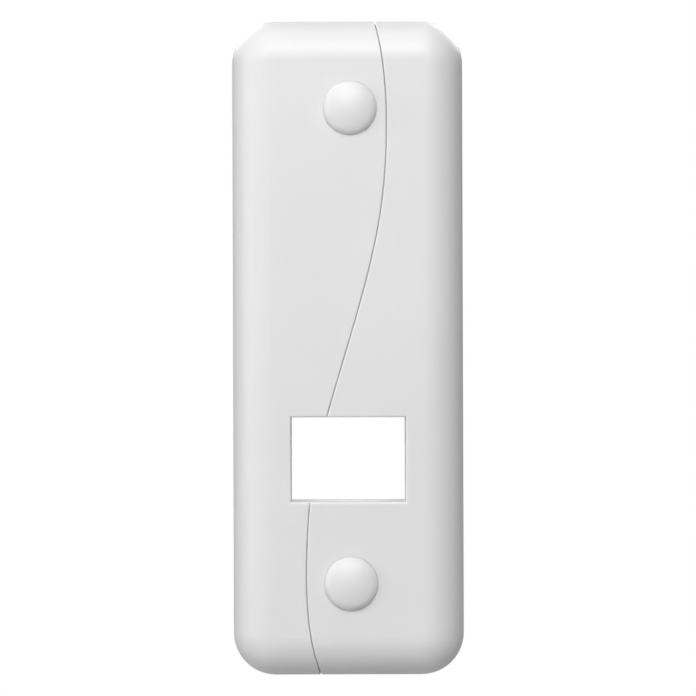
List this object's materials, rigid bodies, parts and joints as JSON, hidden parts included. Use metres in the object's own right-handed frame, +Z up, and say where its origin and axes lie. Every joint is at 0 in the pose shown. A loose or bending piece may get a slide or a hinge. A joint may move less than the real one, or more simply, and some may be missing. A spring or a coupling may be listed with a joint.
{
  "type": "door contact sensor",
  "caption": "Surface-mounted wireless door contact sensor: rounded white housing, front in two parts on an S-shaped seam, domed screw caps and a rectangular window right through.",
  "frame": {"origin": "centre of the flat back of the housing, on the mounting plane", "axes": "+Z up the length of the housing, +Y from the housing into the wall it is mounted on, +X to the right seen from the front; the front faces -Y"},
  "size_m": [0.0458, 0.0242, 0.13],
  "materials": {
    "white_shell": "satin moulded",
    "white_cap": "satin moulded",
    "base_plastic": "satin moulded",
    "clamp_plastic": "matte moulded",
    "zinc_steel": "bright zinc plated",
    "washer_nylon": "natural nylon",
    "insert_brass": "turned",
    "foam_tape": "closed-cell foam",
    "board_laminate": "solder mask",
    "tinned_steel": "tinned",
    "black_moulding": "glass-filled",
    "chip_epoxy": "moulded epoxy",
    "chip_ceramic": "fired",
    "crystal_metal": "drawn can",
    "capacitor_metal": "drawn can",
    "lamp_lens": "tinted clear",
    "pin_gold": "gold flash",
    "button_plastic": "matte moulded",
    "spring_steel": "drawn wire",
    "dip_red": "moulded",
    "slider_white": "moulded",
    "reed_glass_tube": "clear green",
    "reed_alloy": "nickel-iron",
    "terminal_green": "moulded",
    "terminal_brass": "tinned brass",
    "cell_steel": "nickel plated",
    "cell_winding": "rolled foil and separator",
    "cell_wrap": "shrink sleeve",
    "seal_plastic": "moulded",
    "contact_nickel": "nickel plated"
  },
  "bodies": {
    "housing": {"rear_base": "base_plastic", "threaded_inserts": "insert_brass", "adhesive_pads": "foam_tape", "cable_clamp": "clamp_plastic", "cable_clamp_screws": "zinc_steel", "circuit_board": "board_laminate", "board_screws": "zinc_steel", "radio_shield_can": "tinned_steel", "antenna_coil": "spring_steel", "tamper_switch_body": "black_moulding", "tamper_spring": "spring_steel", "test_button_body": "black_moulding", "dip_switch_body": "dip_red", "microcontroller": "chip_epoxy", "crystal_can": "crystal_metal", "capacitor_can": "capacitor_metal", "capacitor_foot": "black_moulding", "status_led": "lamp_lens", "header_body": "black_moulding", "header_pins": "pin_gold", "header_shunt": "black_moulding", "chip_components": "chip_ceramic", "reed_glass": "reed_glass_tube", "reed_leads": "reed_alloy", "terminal_block": "terminal_green", "terminal_clamps": "terminal_brass", "battery_can": "cell_steel", "battery_winding": "cell_winding", "battery_wrap": "cell_wrap", "battery_seal": "seal_plastic", "battery_cap": "cell_steel", "positive_contact": "contact_nickel", "negative_contact": "contact_nickel", "battery_spring": "spring_steel"},
    "left_cover": {"left_cover": "white_shell"},
    "right_cover": {"right_cover": "white_shell"},
    "upper_cap": {"upper_screw_cap": "white_cap"},
    "lower_cap": {"lower_screw_cap": "white_cap"},
    "upper_screw": {"upper_cover_screw": "zinc_steel", "upper_retaining_washer": "washer_nylon"},
    "lower_screw": {"lower_cover_screw": "zinc_steel", "lower_retaining_washer": "washer_nylon"},
    "tamper_plunger": {"tamper_plunger": "button_plastic"},
    "test_button": {"test_button_plunger": "button_plastic"},
    "reed_blade": {"reed_moving_blade": "reed_alloy"},
    "dip_slider_1": {"dip_slider_1": "slider_white"},
    "dip_slider_2": {"dip_slider_2": "slider_white"},
    "dip_slider_3": {"dip_slider_3": "slider_white"},
    "dip_slider_4": {"dip_slider_4": "slider_white"},
    "terminal_screw_1": {"terminal_screw_1": "zinc_steel"},
    "terminal_screw_2": {"terminal_screw_2": "zinc_steel"},
    "terminal_screw_3": {"terminal_screw_3": "zinc_steel"}
  },
  "joints": [
    {"name": "left_cover_swing", "type": "hinge", "parent": "housing", "child": "left_cover", "pos_m": [0, -0.0042, -0.065], "axis": [1, 0, 0], "range_deg": [0, 90]},
    {"name": "right_cover_swing", "type": "hinge", "parent": "housing", "child": "right_cover", "pos_m": [0, -0.0042, 0.065], "axis": [-1, 0, 0], "range_deg": [0, 90]},
    {"name": "upper_cap_pull", "type": "slide", "parent": "left_cover", "child": "upper_cap", "axis": [0, -1, 0], "range_m": [0, 0.012]},
    {"name": "lower_cap_pull", "type": "slide", "parent": "right_cover", "child": "lower_cap", "axis": [0, -1, 0], "range_m": [0, 0.012]},
    {"name": "upper_screw_turn", "type": "hinge", "parent": "left_cover", "child": "upper_screw", "pos_m": [0.0005, -0.008, 0.0475], "axis": [0, 1, 0], "continuous": true},
    {"name": "lower_screw_turn", "type": "hinge", "parent": "right_cover", "child": "lower_screw", "pos_m": [0.0005, -0.008, -0.0466], "axis": [0, 1, 0], "continuous": true},
    {"name": "tamper_press", "type": "slide", "parent": "housing", "child": "tamper_plunger", "axis": [0, -1, 0], "range_m": [0, 0.0012]},
    {"name": "test_press", "type": "slide", "parent": "housing", "child": "test_button", "axis": [0, 1, 0], "range_m": [0, 0.0003], "stiffness_N_per_m": 800},
    {"name": "reed_close", "type": "hinge", "parent": "housing", "child": "reed_blade", "pos_m": [0.0165, -0.0084, -0.01675], "axis": [1, 0, 0], "range_deg": [0, 0.8], "stiffness_Nm_per_rad": 0.002},
    {"name": "dip_slide_1", "type": "slide", "parent": "housing", "child": "dip_slider_1", "axis": [0, 0, 1], "range_m": [0, 0.0015]},
    {"name": "dip_slide_2", "type": "slide", "parent": "housing", "child": "dip_slider_2", "axis": [0, 0, 1], "range_m": [0, 0.0015]},
    {"name": "dip_slide_3", "type": "slide", "parent": "housing", "child": "dip_slider_3", "axis": [0, 0, 1], "range_m": [0, 0.0015]},
    {"name": "dip_slide_4", "type": "slide", "parent": "housing", "child": "dip_slider_4", "axis": [0, 0, 1], "range_m": [0, 0.0015]},
    {"name": "terminal_turn_1", "type": "hinge", "parent": "housing", "child": "terminal_screw_1", "pos_m": [0.0095, -0.014, -0.0506], "axis": [0, 1, 0], "continuous": true},
    {"name": "terminal_turn_2", "type": "hinge", "parent": "housing", "child": "terminal_screw_2", "pos_m": [0.013, -0.014, -0.0506], "axis": [0, 1, 0], "continuous": true},
    {"name": "terminal_turn_3", "type": "hinge", "parent": "housing", "child": "terminal_screw_3", "pos_m": [0.0165, -0.014, -0.0506], "axis": [0, 1, 0], "continuous": true}
  ],
  "couplings": [
    {"joint": "tamper_press", "follows": "right_cover_swing", "m_per_rad": 0.00076}
  ]
}
